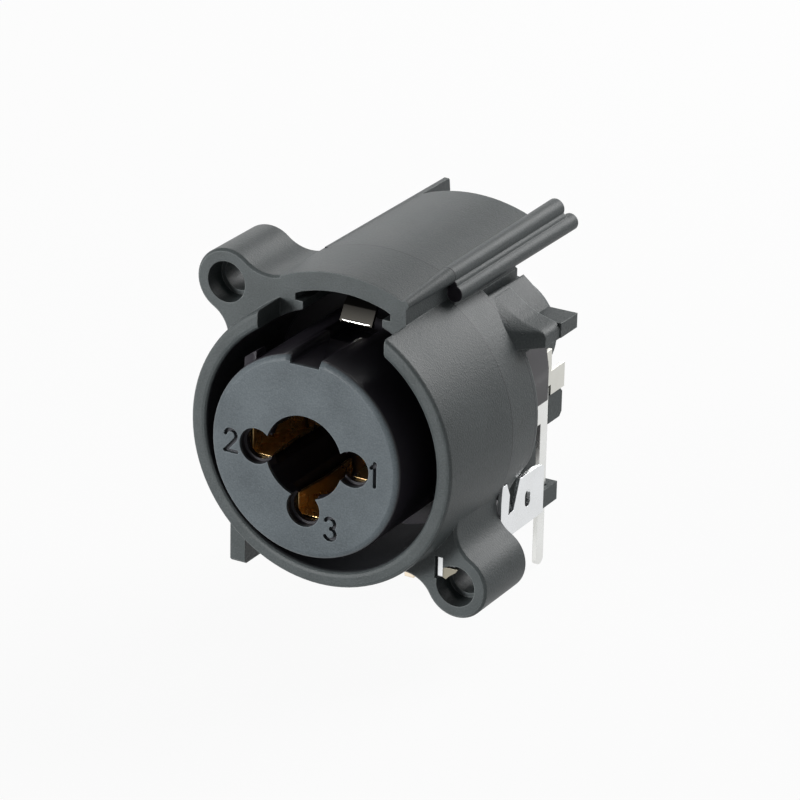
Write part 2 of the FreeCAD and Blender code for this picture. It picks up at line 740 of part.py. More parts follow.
def leaf_slots():
    """Slots in the carrier for the tails and leaves that run inside it."""
    g = SLOT_GAP
    w = LEAF_HALF_W + g
    x = SLEEVE_RISER_X
    y = RING_RISER_Y - LEAF / 2 - g
    below = KEEL_Z - THROUGH
    return [
        box(-w, w, CONTACT_3_Y - SHEET / 2 - g, CONTACT_3_Y + SHEET / 2 + g,
            below, -CHANNEL_OUT_R),
        box(RING_X - w, RING_X + w, y, RING_RISER_Y + LEAF / 2 + g, below, LEAF_ROOT_Z),
        box(RING_X - w, RING_X + w, y, CARRIER_END_Y - OVERLAP, *LEAF_SLOT_Z),
        box(x - SHEET / 2 - g, x + SHEET / 2 + g, SLEEVE_RISER_Y[0] - g,
            SLEEVE_RISER_Y[1] + g, below, STRAP_Z[1] + g),
        box(CAVITY_IN_R, x + SHEET / 2 + g, FLANGE_Y - OVERLAP, SLEEVE_RISER_Y[1] + g, -w, w),
        sleeve_strap(g),
    ]


def rear_foot(x):
    """Foot on the board with a locating peg under it."""
    leg = along_x([
        (REAR_FOOT_Y[0], COVER_BOTTOM_Z + OVERLAP),
        (REAR_FOOT_Y[0], BOARD_Z),
        (REAR_FOOT_Y[1] - REAR_FOOT_TAPER, BOARD_Z),
        (REAR_FOOT_Y[1], COVER_BOTTOM_Z + OVERLAP),
    ], x, x + REAR_FOOT_W)
    centre = (x + REAR_FOOT_W / 2, sum(REAR_FOOT_Y) / 2)
    shoulder = PEG_LENGTH - PEG_POINT
    down = vec(0, 0, -1)
    peg = Part.makeCylinder(PEG_R, shoulder, vec(*centre, BOARD_Z), down)
    point = Part.makeCone(PEG_R, PEG_R - PEG_POINT, PEG_POINT,
                          vec(*centre, BOARD_Z - shoulder), down)
    return [leg, peg, point]


def rear_cover():
    """Closes the carrier, holds the end of the jack passage and lines up the tails."""
    c = COVER_BREAK
    block = along_y(both_sides([
        (COVER_X, COVER_BOTTOM_Z),
        (COVER_X, COVER_TOP_Z - c),
        (COVER_X - c, COVER_TOP_Z),
    ]), *COVER_Y)
    tube = turned([
        (0, COVER_Y[0] + OVERLAP),
        (TUBE_R, COVER_Y[0] + OVERLAP),
        (TUBE_R, TUBE_END_Y - TUBE_BREAK),
        (TUBE_R - TUBE_BREAK, TUBE_END_Y),
        (0, TUBE_END_Y),
    ])
    shapes = [block, tube]
    comb = box(COMB_ROOT_X, COMB_X, *COMB_Y, *COMB_Z).fuse(
        box(COMB_ROOT_X, COVER_X, *COMB_Y, COMB_Z[0], COVER_BOTTOM_Z + OVERLAP))
    b = EAR_TAB_BREAK
    tab = along_x([
        (EAR_TAB_Y[0], EAR_TAB_Z[0]),
        (EAR_TAB_Y[1] - b, EAR_TAB_Z[0]),
        (EAR_TAB_Y[1], EAR_TAB_Z[0] + b),
        (EAR_TAB_Y[1], EAR_TAB_Z[1] - b),
        (EAR_TAB_Y[1] - b, EAR_TAB_Z[1]),
        (EAR_TAB_Y[0], EAR_TAB_Z[1]),
    ], COVER_X - OVERLAP, EAR_TAB_X)
    for shape in (comb, tab):
        shapes += [shape, mirrored(shape)]
    for x in REAR_FOOT_X:
        shapes += rear_foot(x)
    solid = joined(shapes)
    g = SLOT_GAP
    w = LEAF_HALF_W + g
    y = TIP_RISER_Y - LEAF / 2 - g
    half = PIN_SHEET / 2 + PIN_GAP
    pin_hole = box(PIN_X - half, PIN_X + half, PIN_Y[0] - PIN_GAP, PIN_Y[1] + PIN_GAP,
                   COMB_Z[0] - THROUGH, EAR_TAB_Z[1] + THROUGH)
    cuts = [
        rod(TUBE_BORE_R, COVER_Y[0] - THROUGH, TUBE_END_Y - TUBE_WALL_END),
        box(TIP_X - w, TIP_X + w, y, TIP_RISER_Y + LEAF / 2 + g,
            COVER_BOTTOM_Z - THROUGH, LEAF_ROOT_Z),
        box(TIP_X - w, TIP_X + w, y, TIP_RISER_Y + TIP_LEAF[1][0] + 3 * g, *LEAF_SLOT_Z),
        pin_hole,
        mirrored(pin_hole),
    ]
    for low, high in POCKET_ROWS:
        pocket = box(COVER_X - POCKET_WALL - POCKET_W, COVER_X - POCKET_WALL,
                     COVER_Y[0] + POCKET_FLOOR, COVER_Y[1] + THROUGH, low, high)
        cuts += [pocket, mirrored(pocket)]
    return solid.cut(cuts[0].multiFuse(cuts[1:])).removeSplitter()


def retention_spring():
    """Sheet tongue with a tooth, on a bar that sits in the channel."""
    z = SPRING_Z
    low = z - SPRING_SHEET / 2
    high = z + SPRING_SHEET / 2
    bar = box(-SPRING_BAR_X, SPRING_BAR_X, *SPRING_BAR_Y, low, high)
    neck = along_z([
        (-SPRING_NECK_X, SPRING_BAR_Y[0] + SPRING_LAP),
        (-TONGUE_X, SPRING_NECK_Y),
        (TONGUE_X, SPRING_NECK_Y),
        (SPRING_NECK_X, SPRING_BAR_Y[0] + SPRING_LAP),
    ], low, high)
    path = [(SPRING_NECK_Y + SPRING_LAP, z)]
    path += [(TONGUE_FRONT_Y + a, z - SPRING_DROP + b) for a, b in TONGUE_BEND]
    path += [(TONGUE_FRONT_Y + a, TOOTH_Z + b) for a, b in TOOTH_END]
    tongue = along_x(strip(path, SPRING_SHEET), -TONGUE_X, TONGUE_X)
    return joined([bar, neck, tongue])


def clip_root_x():
    """Where the clip's arm leaves the wall of the bore."""
    return on_circle(BORE_R, CLIP_ARM_Z[1])


def clip_arm(gap=0.0):
    """Arm that bows into the ring gap to touch the plug's shell."""
    root = clip_root_x()
    sheet = CLIP_X[1] - CLIP_X[0]
    path = [((CLIP_X[0] + CLIP_X[1]) / 2, CLIP_ARM_Y), (root, CLIP_ARM_Y),
            (root - CLIP_BOW, CLIP_BOW_Y), (root - CLIP_TIP, CLIP_TIP_Y)]
    return along_z(strip(path, sheet + 2 * gap), CLIP_ARM_Z[0] - gap, CLIP_ARM_Z[1] + gap)


def clip_room(z0, z1):
    """Pocket in the wall of the bore for the clip's arm."""
    root = clip_root_x()
    return box(root - 2 * CLIP_BOW, root + SLOT_GAP + CLIP_GAP, CLIP_TIP_Y - CLIP_ROOM,
               PARTING_Y + 2 * EDGE_BREAK, z0, z1)


def ground_clip():
    """Plated clip: rear tab, arm to the plug shell and arm to the panel screw."""
    y = PARTING_Y + CLIP_GAP
    plate = along_x([
        (y, CLIP_FRONT_Z[0]),
        (y, CLIP_BOTTOM_Z),
        (CLIP_END_Y, CLIP_BOTTOM_Z),
    ] + [(CLIP_END_Y - back, CLIP_TOP_Z - down) for back, down in CLIP_CORNER] + [
        (CLIP_END_Y - CLIP_TOP_SHORT, CLIP_TOP_Z),
        (CLIP_HOLE_Y - CLIP_TOP_SHORT, CLIP_TOP_Z),
    ] + [(CLIP_HOLE_Y + a, CLIP_HOLE_Z + b) for a, b in CLIP_SLIT] + [
        (CLIP_ARM_Y + CLIP_ARM_LAP[1], CLIP_ARM_Z[1]),
        (y + CLIP_ARM_LAP[0], CLIP_ARM_Z[1]),
        (y + CLIP_FRONT_LEAN, CLIP_FRONT_Z[1]),
    ], *CLIP_X)
    side, crown = CLIP_HOLE_H
    hole = along_x([
        (CLIP_HOLE_Y - CLIP_HOLE_W, CLIP_HOLE_Z - side),
        (CLIP_HOLE_Y, CLIP_HOLE_Z - crown, CLIP_HOLE_Y + CLIP_HOLE_W, CLIP_HOLE_Z - side),
        (CLIP_HOLE_Y + CLIP_HOLE_W, CLIP_HOLE_Z + side),
        (CLIP_HOLE_Y, CLIP_HOLE_Z + crown, CLIP_HOLE_Y - CLIP_HOLE_W, CLIP_HOLE_Z + side),
    ], CLIP_X[0] - THROUGH, CLIP_X[1] + THROUGH)
    back = EAR_BACK_Y + CLIP_GAP
    jog = box(SCREW_ARM_X[0], CLIP_X[1], back, back + SHEET + FIT, JOG_Z, SCREW_ARM_Z[1])
    screw_arm = box(*SCREW_ARM_X, SCREW_ARM_FRONT_Y, back + SHEET, *SCREW_ARM_Z)
    return joined([plate.cut(hole), clip_arm(), jog, screw_arm])


def main():
    os.makedirs("parts", exist_ok=True)
    right = xlr_contact_1()
    nodes = {
        "housing": housing(),
        "insert": insert(),
        "rear_cover": rear_cover(),
        "xlr_contact_1": right,
        "xlr_contact_2": mirrored(right),
        "xlr_contact_3": xlr_contact_3(),
        "jack_tip_contact": leaf_contact(TIP_X, TIP_RISER_Y, TIP_LEAF),
        "jack_ring_contact": leaf_contact(RING_X, RING_RISER_Y, RING_LEAF),
        "jack_sleeve_contact": jack_sleeve_contact(),
        "retention_spring": retention_spring(),
        "ground_clip": ground_clip(),
    }
    for name, shape in nodes.items():
        solids = shape.Solids
        if len(solids) == 1:
            shape = solids[0]
        shape.exportStep("parts/" + name + ".step")
        print(name, len(solids), shape.isValid(), round(shape.Volume, 2))


main()
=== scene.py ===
"""Studio scene of a panel socket for a three-pole XLR plug or a 6.35 mm jack plug.

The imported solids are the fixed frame.  Each sub-assembly is a class that
dresses its solids and adds the small forms that the frame leaves out.  The
scene is in metres; the fields of the classes are in millimetres and degrees
where nothing else is said.  The axes are the frame's: X to the right seen
from the front, Y deeper into the socket, Z up.
"""
import logging
import math
from dataclasses import dataclass
from enum import Enum

import bmesh
import bpy
import numpy as np
from mathutils import Matrix, Vector


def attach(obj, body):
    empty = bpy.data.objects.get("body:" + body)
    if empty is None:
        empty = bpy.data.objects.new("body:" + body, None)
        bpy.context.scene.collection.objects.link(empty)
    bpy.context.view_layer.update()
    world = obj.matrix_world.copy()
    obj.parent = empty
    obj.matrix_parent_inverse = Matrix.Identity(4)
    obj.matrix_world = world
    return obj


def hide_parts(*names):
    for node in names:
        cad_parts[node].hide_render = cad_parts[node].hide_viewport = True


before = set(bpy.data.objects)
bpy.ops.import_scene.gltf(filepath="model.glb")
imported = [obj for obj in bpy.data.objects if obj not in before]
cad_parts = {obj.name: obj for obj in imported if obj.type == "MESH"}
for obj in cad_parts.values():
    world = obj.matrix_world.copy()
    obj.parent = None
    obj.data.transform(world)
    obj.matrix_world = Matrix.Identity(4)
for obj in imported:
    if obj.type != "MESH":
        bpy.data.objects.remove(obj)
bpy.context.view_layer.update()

MM = 0.001
BEVEL_SAMPLES = 4
LOG = logging.getLogger("socket")

Pair = tuple[float, float]
Triple = tuple[float, float, float]
Socket = bpy.types.NodeSocket
Value = float | Triple | Socket


class Axis(Enum):
    """Axis of the frame along which a finish changes."""

    X = 0
    Y = 1
    Z = 2


class Effect(Enum):
    """Shader node groups that several finishes share."""

    GRAIN = "mould_grain"
    EDGE_HIGHLIGHT = "painted_edge_highlight"
    INSIDE = "inside_mask"
    LINE = "parting_line"
    SHEET = "rolled_sheet"


class Graph:
    """Short ways to add nodes to a node tree and to link them.

    A value that is a socket is linked to the input.  Any other one is set on
    the input itself.
    """

    def __init__(self, tree: bpy.types.NodeTree) -> None:
        """Work on one node tree.

        Args:
            tree: the tree of a material, a world or a node group.
        """
        self.tree = tree

    def node(self, kind: str, inputs: dict[str | int, Value] | None = None,
             **settings: object) -> bpy.types.Node:
        """Add a node.

        Args:
            kind: the node's type, without ShaderNode in front.
            inputs: values by the input's name or number.
            settings: the node's own settings.

        Returns:
            The node.
        """
        node = self.tree.nodes.new("ShaderNode" + kind)
        for key, setting in settings.items():
            setattr(node, key, setting)
        for key, value in (inputs or {}).items():
            self.feed(node.inputs[key], value)
        return node

    def feed(self, target: Socket, value: Value) -> None:
        """Link a socket to an input, or set the input itself.

        Args:
            target: the input.
            value: a socket, a number, or a colour without its alpha.
        """
        if isinstance(value, Socket):
            self.tree.links.new(value, target)
        elif target.type == "RGBA":
            target.default_value = (*value, 1.0)
        else:
            target.default_value = value

    def math(self, operation: str, *values: Value, clamp: bool = False) -> Socket:
        """Add a step of arithmetic.

        Args:
            operation: what it works out.
            values: its inputs in order.
            clamp: keep the result from nothing to one.

        Returns:
            The result.
        """
        node = self.node("Math", dict(enumerate(values)), operation=operation, use_clamp=clamp)
        return node.outputs[0]

    def map_range(self, value: Value, start: float = 0.0, end: float = 1.0,
                  to_start: float = 0.0, to_end: float = 1.0) -> Socket:
        """Carry a value from one range to another and stop it at the ends.

        Args:
            value: the value.
            start: start of the range that it comes from.
            end: end of that range.
            to_start: result at the start.
            to_end: result at the end.

        Returns:
            The result.
        """
        node = self.node("MapRange", {"Value": value, "From Min": start, "From Max": end,
                                      "To Min": to_start, "To Max": to_end})
        return node.outputs["Result"]

    def blend(self, share: Value, first: Value, second: Value, kind: str = "MIX") -> Socket:
        """Mix two colours.

        Args:
            share: share of the second colour.
            first: the first colour.
            second: the second colour.
            kind: how they mix.

        Returns:
            The mixed colour.
        """
        node = self.node("Mix", {"Factor": share, "A": first, "B": second},
                         data_type="RGBA", blend_type=kind)
        return node.outputs["Result"]

    def ease(self, share: Value, first: Value, second: Value) -> Socket:
        """Mix two numbers.

        Args:
            share: share of the second number.
            first: the first number.
            second: the second number.

        Returns:
            The mixed number.
        """
        return self.node("Mix", {"Factor": share, "A": first, "B": second}).outputs["Result"]

    def group(self, effect: Effect, inputs: dict[str, float] | None = None) -> bpy.types.Node:
        """Add one of the shared effects.

        Args:
            effect: the effect.
            inputs: values by the input's name.

        Returns:
            The group node.
        """
        return self.node("Group", inputs, node_tree=bpy.data.node_groups[effect.value])

    def place(self) -> Socket:
        """Coordinates of the object itself."""
        return self.node("TexCoord").outputs["Object"]

    def split(self, vector: Socket) -> bpy.types.Node:
        """Parts of a vector along X, Y and Z."""
        return self.node("SeparateXYZ", {0: vector})

    def noise(self, vector: Socket, scale: Value, detail: float) -> Socket:
        """Add a noise.

        Args:
            vector: where it is read.
            scale: cycles in a metre.
            detail: its octaves.

        Returns:
            Its value.
        """
        node = self.node("TexNoise", {"Vector": vector, "Scale": scale, "Detail": detail})
        return node.outputs["Fac"]

    def relief(self, height: Socket, depth: float, edge_round: float) -> Socket:
        """Normal of softened edges, with a relief on it.

        Args:
            height: height of the relief.
            depth: its depth in metres.
            edge_round: radius of the softened edges in metres.

        Returns:
            The normal.
        """
        soft = self.node("Bevel", {"Radius": edge_round}, samples=BEVEL_SAMPLES)
        bump = self.node("Bump", {"Distance": depth, "Height": height,
                                  "Normal": soft.outputs["Normal"]})
        return bump.outputs["Normal"]


@dataclass
class Camera:
    """Camera that stands where the photograph was taken.

    The angles are in degrees, lengths in millimetres, and the focal length is
    in pixels of a picture 800 pixels wide.
    """

    azimuth: float = 29.276
    elevation: float = 22.533
    roll: float = 1.201
    focal: float = 4445.6
    distance: float = 326.25
    shift_right: float = 4.309
    shift_up: float = 2.571
    width: int = 800
    sensor: float = 36.0

    def axes(self) -> tuple[Vector, Vector, Vector]:
        """Right, up and back of the camera: the view turned by azimuth and
        elevation about the vertical, then rolled about the line of sight.

        Returns:
            The three unit vectors.
        """
        az, el, roll = (math.radians(a) for a in (self.azimuth, self.elevation, self.roll))
        back = Vector((math.sin(az) * math.cos(el), -math.cos(az) * math.cos(el), math.sin(el)))
        right = Vector((math.cos(az), math.sin(az), 0.0))
        up = back.cross(right)
        rolled_right = math.cos(roll) * right + math.sin(roll) * up
        rolled_up = -math.sin(roll) * right + math.cos(roll) * up
        return rolled_right, rolled_up, back

    def build(self) -> bpy.types.Object:
        """Make the camera and set it as the scene's own.

        Returns:
            The camera object.
        """
        right, up, back = self.axes()
        turn_right = Vector((math.cos(math.radians(self.azimuth)),
                             math.sin(math.radians(self.azimuth)), 0.0))
        turn_up = back.cross(turn_right)
        place = back * self.distance + turn_right * self.shift_right + turn_up * self.shift_up
        data = bpy.data.cameras.new("camera")
        data.sensor_width = self.sensor
        data.lens = self.focal / self.width * self.sensor
        data.clip_start = 0.01
        data.clip_end = 20.0
        camera = bpy.data.objects.new("camera", data)
        bpy.context.scene.collection.objects.link(camera)
        matrix = Matrix((right, up, back)).transposed().to_4x4()
        matrix.translation = place * MM
        camera.matrix_world = matrix
        bpy.context.scene.camera = camera
        return camera


@dataclass(frozen=True)
class Lamp:
    """Soft square lamp, with its power in watts."""

    name: str
    place: Triple
    side: float
    power: float

    def build(self, aim: Vector) -> None:
        """Make the lamp.

        Args:
            aim: the point that it faces, in metres.
        """
        data = bpy.data.lights.new(self.name, "AREA")
        data.shape = "SQUARE"
        data.size = self.side * MM
        data.energy = self.power
        lamp = bpy.data.objects.new(self.name, data)
        bpy.context.scene.collection.objects.link(lamp)
        lamp.location = Vector(self.place) * MM
        lamp.rotation_euler = (aim - lamp.location).to_track_quat("-Z", "Y").to_euler()


@dataclass
class Studio:
    """Pale floor, white surroundings and soft lamps.

    The lift is how much of pure white the camera sees in the floor, whose own
    grey is the tone.  The ambient grey is what lights the socket from all
    sides.
    """

    floor_z: float = -15.9
    floor_half: float = 900.0
    floor_tone: float = 0.7
    floor_lift: float = 0.94
    ambient: float = 0.05
    aim: Triple = (0.0, 8.0, 0.0)
    lamps: tuple[Lamp, ...] = (
        Lamp("back", (110.0, 320.0, 190.0), 240.0, 1.35),
        Lamp("back_left", (-220.0, 260.0, 200.0), 220.0, 0.25),
        Lamp("front_low", (-150.0, -310.0, 32.0), 90.0, 1.25),
    )

    @staticmethod
    def seen(graph: Graph) -> Socket:
        """One for rays from the camera and for mirrored and passing rays.

        Args:
            graph: the material's or the world's nodes.

        Returns:
            The larger of the three ray kinds.
        """
        path = graph.node("LightPath").outputs
        mirrored = graph.math("MAXIMUM", path["Is Camera Ray"], path["Is Glossy Ray"])
        return graph.math("MAXIMUM", mirrored, path["Is Transmission Ray"])

    def floor(self) -> None:
        """Flat floor just under the tails; the camera sees it nearly white,
        with only a trace of shadow."""
        h = self.floor_half * MM
        z = self.floor_z * MM
        mesh = bpy.data.meshes.new("floor")
        mesh.from_pydata([(-h, -h, z), (h, -h, z), (h, h, z), (-h, h, z)], [], [(0, 1, 2, 3)])
        floor = bpy.data.objects.new("floor", mesh)
        bpy.context.scene.collection.objects.link(floor)
        material = bpy.data.materials.new("floor_paint")
        material.use_nodes = True
        graph = Graph(material.node_tree)
        graph.tree.nodes.clear()
        matt = graph.node("BsdfDiffuse", {"Color": (self.floor_tone,) * 3})
        glow = graph.node("Emission", {"Color": (1.0, 1.0, 1.0)})
        share = graph.math("MULTIPLY", self.seen(graph), self.floor_lift)
        mix = graph.node("MixShader", {0: share, 1: matt.outputs[0], 2: glow.outputs[0]})
        graph.node("OutputMaterial", {"Surface": mix.outputs[0]})
        mesh.materials.append(material)

    def surroundings(self) -> None:
        """White to the camera and in reflections, and a dimmer grey as light."""
        world = bpy.data.worlds.new("surroundings")
        world.use_nodes = True
        graph = Graph(world.node_tree)
        graph.tree.nodes.clear()
        light = graph.node("Background", {"Color": (self.ambient,) * 3})
        white = graph.node("Background", {"Color": (1.0, 1.0, 1.0)})
        mix = graph.node("MixShader",
                         {0: self.seen(graph), 1: light.outputs[0], 2: white.outputs[0]})
        graph.node("OutputWorld", {"Surface": mix.outputs[0]})
        bpy.context.scene.world = world

    def build(self) -> None:
        """Set up floor, surroundings and lamps."""
        self.floor()
        self.surroundings()
        for lamp in self.lamps:
            lamp.build(Vector(self.aim) * MM)
        bpy.context.scene.view_settings.view_transform = "Standard"


class Effects:
    """The shader node groups that several finishes share, each built once."""

    @staticmethod
    def _group(effect: Effect, inputs: dict[str, float], outputs: tuple[str, ...]) -> Graph:
        """Make a node group with float inputs and outputs, and its end nodes.

        Args:
            effect: which one it is.
            inputs: names and default values of its inputs.
            outputs: names of its outputs.

        Returns:
            The group's nodes, with those named "in" and "out".
        """
        tree = bpy.data.node_groups.new(effect.value, "ShaderNodeTree")
        for key, value in inputs.items():
            socket = tree.interface.new_socket(name=key, in_out="INPUT",
                                               socket_type="NodeSocketFloat")
            socket.default_value = value
        for key in outputs:
            tree.interface.new_socket(name=key, in_out="OUTPUT", socket_type="NodeSocketFloat")
        tree.nodes.new("NodeGroupInput").name = "in"
        tree.nodes.new("NodeGroupOutput").name = "out"
        return Graph(tree)

    @staticmethod
    def grain() -> None:
        """Eroded mould texture: fine grains plus broad, faint mottling.

        Height is the fine noise plus a quarter of one about three times as
        coarse.  Tone is a broad noise, and Speckle the fine one stretched to
        its full range.
        """
        graph = Effects._group(Effect.GRAIN, {"Grain size": 0.00012, "Mottle size": 0.003},
                               ("Height", "Tone", "Speckle"))
        given, out = graph.tree.nodes["in"].outputs, graph.tree.nodes["out"].inputs
        place = graph.place()
        per_grain = graph.math("DIVIDE", 1.0, given["Grain size"])
        fine = graph.noise(place, per_grain, 2.0)
        coarse = graph.noise(place, graph.math("MULTIPLY", per_grain, 0.35), 1.0)
        graph.feed(out["Height"], graph.math("MULTIPLY_ADD", coarse, 0.25, fine))
        graph.feed(out["Speckle"], graph.map_range(fine, start=0.35, end=0.65))
        per_mottle = graph.math("DIVIDE", 1.0, given["Mottle size"])
        graph.feed(out["Tone"], graph.noise(place, per_mottle, 3.0))

    @staticmethod
    def painted_edge_highlight() -> None:
        """Mask of edges for a painted highlight: one minus the cosine between the softened and
            the true normal, stretched, and broken up by noise."""
        graph = Effects._group(Effect.EDGE_HIGHLIGHT, {"Width": 0.00012, "Strength": 1.0}, ("Mask",))
        given, out = graph.tree.nodes["in"].outputs, graph.tree.nodes["out"].inputs
        bevel = graph.node("Bevel", {"Radius": given["Width"]}, samples=BEVEL_SAMPLES)
        true = graph.node("NewGeometry")
        cosine = graph.node("VectorMath", {0: bevel.outputs["Normal"], 1: true.outputs["Normal"]},
                            operation="DOT_PRODUCT")
        turned = graph.map_range(cosine.outputs["Value"], start=0.995, end=0.75)
        broken = graph.math("MULTIPLY", turned, graph.noise(graph.place(), 900.0, 2.0))
        graph.feed(out["Mask"], graph.math("MULTIPLY", broken, given["Strength"], clamp=True))

    @staticmethod
    def inside_mask() -> None:
        """Mask of the surfaces near the plug axis and behind a face. The plastics paint shade
        where it is one, and its radius also bounds the step line.

        One where the distance from the plug axis is under Radius and the
        depth is over Face, both with a soft step 0.15 mm wide.
        """
        graph = Effects._group(Effect.INSIDE, {"Radius": 1.0, "Face": -1.0}, ("Mask",))
        given, out = graph.tree.nodes["in"].outputs, graph.tree.nodes["out"].inputs
        place = graph.place()
        flat = graph.node("VectorMath", {0: place, 1: (1.0, 0.0, 1.0)}, operation="MULTIPLY")
        radius = graph.node("VectorMath", {0: flat.outputs[0]}, operation="LENGTH")
        inside = graph.math("SUBTRACT", given["Radius"], radius.outputs["Value"])
        behind = graph.math("SUBTRACT", graph.split(place).outputs["Y"], given["Face"])
        both = graph.math("MINIMUM", inside, behind)
        graph.feed(out["Mask"], graph.map_range(both, start=0.0, end=0.00015))

    @staticmethod
    def parting_line() -> None:
        """Mask of the fine line where two halves of the mould met.

        One minus the distance from the depth Place over half of Width, and
        nothing below zero.
        """
        graph = Effects._group(Effect.LINE, {"Place": 0.0061, "Width": 0.00012}, ("Mask",))
        given, out = graph.tree.nodes["in"].outputs, graph.tree.nodes["out"].inputs
        depth = graph.split(graph.place()).outputs["Y"]
        away = graph.math("ABSOLUTE", graph.math("SUBTRACT", depth, given["Place"]))
        share = graph.math("DIVIDE", away, given["Width"])
        graph.feed(out["Mask"], graph.map_range(share, start=0.5, end=0.1))

    @staticmethod
    def rolled_sheet() -> None:
        """Rolling marks of sheet metal: noise stretched along Y, plus fine
        scratches of a second noise that is stretched the other way."""
        graph = Effects._group(Effect.SHEET, {"Line size": 0.00008}, ("Height", "Tone"))
        given, out = graph.tree.nodes["in"].outputs, graph.tree.nodes["out"].inputs
        place = graph.place()
        per_line = graph.math("DIVIDE", 1.0, given["Line size"])
        rolled, scratched = (
            graph.noise(graph.node("Mapping", {"Vector": place, "Scale": stretch}).outputs[0],
                        per_line, 3.0)
            for stretch in ((1.0, 0.06, 1.0), (0.2, 1.0, 0.05)))
        graph.feed(out["Height"], graph.math("MULTIPLY_ADD", scratched, 0.35, rolled))
        graph.feed(out["Tone"], graph.noise(place, 420.0, 4.0))

    def build(self) -> None:
        """Make every group."""
        self.grain()
        self.painted_edge_highlight()
        self.inside_mask()
        self.parting_line()
        self.rolled_sheet()


@dataclass(frozen=True)
class Plastic:
    """Moulded plastic with an eroded texture and a painted highlight along its edges.

    Within a radius of the plug axis and deeper than a face, both given as fields, shade is
    painted on it: its colour goes to the dark shade tone, and it is smoother there.  A fine line
    runs round it at the depth line_place, and one at step_place where the radius is under
    step_radius.
    """

    name: str
    dark: Triple
    light: Triple
    rough: Pair
    grain_depth: float
    edge_round: float
    # Light tone of the painted highlight on the edges.
    edge_highlight_tone: Triple
    shade_zone_radius: float
    shade_zone_face: float
    line_place: float
    step_place: float
    step_radius: float = 11.25
    # Dark tone of the painted shade near the axis; the fine mould lines take it too.
    shade_and_line_tone: Triple = (0.019, 0.017, 0.022)
    shade_zone_rough: float = 0.34
    grain_size: float = 0.00013
    # How strongly the painted edge highlight shows.
    edge_highlight_strength: float = 2.0
    specular: float = 0.25
    speckle: float = 0.35
    tone_range: Pair = (0.35, 0.65)
    level: float = 0.5

    def colour(self, graph: Graph, grain: bpy.types.Node, painted_shade: Socket) -> Socket:
        """Mottled body, then painted highlights on the edges, mould lines and painted shade.

        Args:
            graph: the material's nodes.
            grain: the mould texture.
            painted_shade: mask of the surfaces that get painted shade.

        Returns:
            The colour.
        """
        mottle = graph.math("MULTIPLY_ADD", grain.outputs["Speckle"], self.speckle,
                            grain.outputs["Tone"])
        start, end = self.tone_range
        body = graph.blend(graph.map_range(mottle, start, end + self.speckle),
                           self.dark, self.light)
        # Painted highlight: the edges are lightened towards the edge tone, which stands in for
        # the highlights that light puts on them.
        edge = graph.group(Effect.EDGE_HIGHLIGHT, {"Width": self.edge_round, "Strength": self.edge_highlight_strength})
        highlighted = graph.blend(edge.outputs["Mask"], body, self.edge_highlight_tone)
        line = graph.group(Effect.LINE, {"Place": self.line_place * MM})
        step = graph.group(Effect.LINE, {"Place": self.step_place * MM})
        low = graph.group(Effect.INSIDE, {"Radius": self.step_radius * MM})
        low_step = graph.math("MULTIPLY", step.outputs["Mask"], low.outputs["Mask"])
        marks = graph.math("MAXIMUM", line.outputs["Mask"], low_step)
        lined = graph.blend(marks, highlighted, self.shade_and_line_tone)
        # Painted shade: the masked surfaces turn to the dark shade tone, which stands in for the
        # shade that falls inside the socket.
        return graph.blend(painted_shade, lined, self.shade_and_line_tone)

    def material(self) -> bpy.types.Material:
        """Build the material.

        Returns:
            The material, with colour from the mottling, the painted highlight on the edges and
            the painted shade, roughness from the mottling, and the normal from softened edges
            plus the grain.
        """
        material = bpy.data.materials.new(self.name)
        material.use_nodes = True
        graph = Graph(material.node_tree)
        shader = graph.tree.nodes["Principled BSDF"].inputs
        grain = graph.group(Effect.GRAIN, {"Grain size": self.grain_size})
        # Painted shade: near the plug axis and behind the face the colour goes dark, and the
        # surface gets smoother and flatter.
        painted_shade = graph.group(Effect.INSIDE, {"Radius": self.shade_zone_radius * MM,
                                         "Face": self.shade_zone_face * MM}).outputs["Mask"]
        rough = graph.map_range(grain.outputs["Tone"], 0.0, 1.0, *self.rough)
        height = graph.ease(painted_shade, grain.outputs["Height"], self.level)
        graph.feed(shader["Base Color"], self.colour(graph, grain, painted_shade))
        graph.feed(shader["Roughness"], graph.ease(painted_shade, rough, self.shade_zone_rough))
        graph.feed(shader["Specular IOR Level"], self.specular)
        graph.feed(shader["Normal"], graph.relief(height, self.grain_depth, self.edge_round))
        return material


@dataclass(frozen=True)
class Metal:
    """Sheet metal whose colour changes along one axis: the contacts' plating changes, and the
    spring gets darker towards the top.

    The first colour shows below the change and the second above it, both in
    millimetres along the axis.
    """

    name: str
    first: Triple
    second: Triple
    rough: Pair
    axis: Axis = Axis.Y
    change: Pair = (5.0, 9.0)
    edge_round: float = 0.00003
    line_depth: float = 0.000002
    dull: Triple = (0.86, 0.85, 0.83)

    def material(self) -> bpy.types.Material:
        """Build the material.

        Returns:
            The material, with its two platings, rolling marks in roughness
            and normal, and duller patches.
        """
        material = bpy.data.materials.new(self.name)
        material.use_nodes = True
        graph = Graph(material.node_tree)
        shader = graph.tree.nodes["Principled BSDF"].inputs
        sheet = graph.group(Effect.SHEET).outputs
        along = graph.split(graph.place()).outputs[self.axis.value]
        plating = graph.map_range(along, *(place * MM for place in self.change))
        base = graph.blend(plating, self.first, self.second)
        patches = graph.blend(sheet["Tone"], base, self.dull, kind="MULTIPLY")
        rough = graph.map_range(sheet["Tone"], 0.0, 1.0, *self.rough)
        graph.feed(shader["Base Color"], patches)
        graph.feed(shader["Roughness"], rough)
        graph.feed(shader["Metallic"], 1.0)
        graph.feed(shader["Normal"],
                   graph.relief(sheet["Height"], self.line_depth, self.edge_round))
        return material


NOWHERE = 30.0
